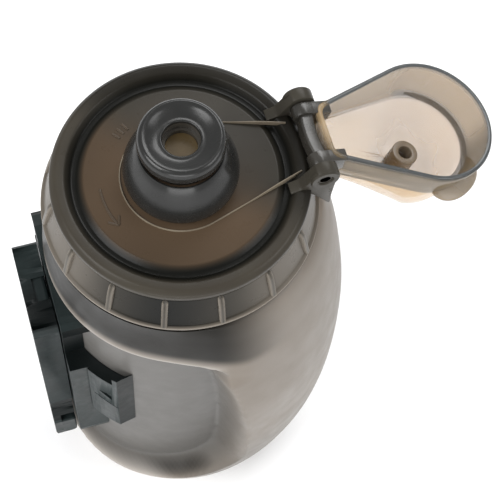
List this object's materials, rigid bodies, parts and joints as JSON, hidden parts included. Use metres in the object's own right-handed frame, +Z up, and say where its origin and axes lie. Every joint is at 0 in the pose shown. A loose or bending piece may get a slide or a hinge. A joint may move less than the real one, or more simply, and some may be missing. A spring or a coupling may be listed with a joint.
{
  "type": "sports squeeze bottle",
  "caption": "Squeezable sports bottle with screw cap, pull-up mouthpiece, hinged dust cover and a twist-off bicycle mount on its recessed front.",
  "frame": {"origin": "centre of the bottle's flat base, on the surface it stands on", "axes": "+Z up along the bottle's axis, +X towards the dust cover's hinge, -X towards the bicycle mount"},
  "size_m": [0.1016, 0.075, 0.14],
  "materials": {
    "bottle_plastic": "frosted smoke-grey squeezable polyethylene",
    "cap_plastic": "dark smoke translucent moulded plastic, satin",
    "seal_rubber": "soft silicone",
    "valve_plastic": "brown translucent plastic",
    "soft_grip": "dark grey soft-touch elastomer",
    "core_plastic": "hard black plastic",
    "cover_plastic": "clear light-brown smoke plastic",
    "pin_steel": "plain steel pin",
    "mount_nylon": "dark green-grey glass-filled nylon, fine texture",
    "magnet_nickel": "nickel-plated magnet"
  },
  "bodies": {
    "bottle": {"bottle_body": "bottle_plastic", "bottle_connector": "mount_nylon", "connector_magnets": "magnet_nickel"},
    "cap_seal": {"cap_gasket": "seal_rubber"},
    "cap": {"cap_shell": "cap_plastic", "valve_core": "valve_plastic", "spout_collar": "soft_grip", "hinge_pin": "pin_steel"},
    "mouthpiece": {"mouthpiece_core": "core_plastic", "mouthpiece_lip": "soft_grip", "mouthpiece_o_ring": "seal_rubber"},
    "cover": {"dust_cover": "cover_plastic"},
    "mount_base": {"bike_base": "mount_nylon", "base_magnets": "magnet_nickel"}
  },
  "joints": [
    {"name": "cap_lift", "type": "slide", "parent": "bottle", "child": "cap_seal", "axis": [0, 0, 1], "range_m": [0, 0.00501]},
    {"name": "cap_turn", "type": "hinge", "parent": "cap_seal", "child": "cap", "pos_m": [0, 0, 0.118], "axis": [0, 0, 1], "range_deg": [0, 450]},
    {"name": "mouthpiece_pull", "type": "slide", "parent": "cap", "child": "mouthpiece", "axis": [0, 0, 1], "range_m": [0, 0.003]},
    {"name": "cover_swing", "type": "hinge", "parent": "cap", "child": "cover", "pos_m": [0.0266, 0, 0.1265], "axis": [0, -1, 0], "range_deg": [0, 196]},
    {"name": "base_twist", "type": "hinge", "parent": "bottle", "child": "mount_base", "pos_m": [-0.0315, 0, 0.054], "axis": [-1, 0, 0], "range_deg": [0, 30]}
  ],
  "couplings": [
    {"joint": "cap_lift", "follows": "cap_turn", "m_per_rad": 0.00063662}
  ]
}
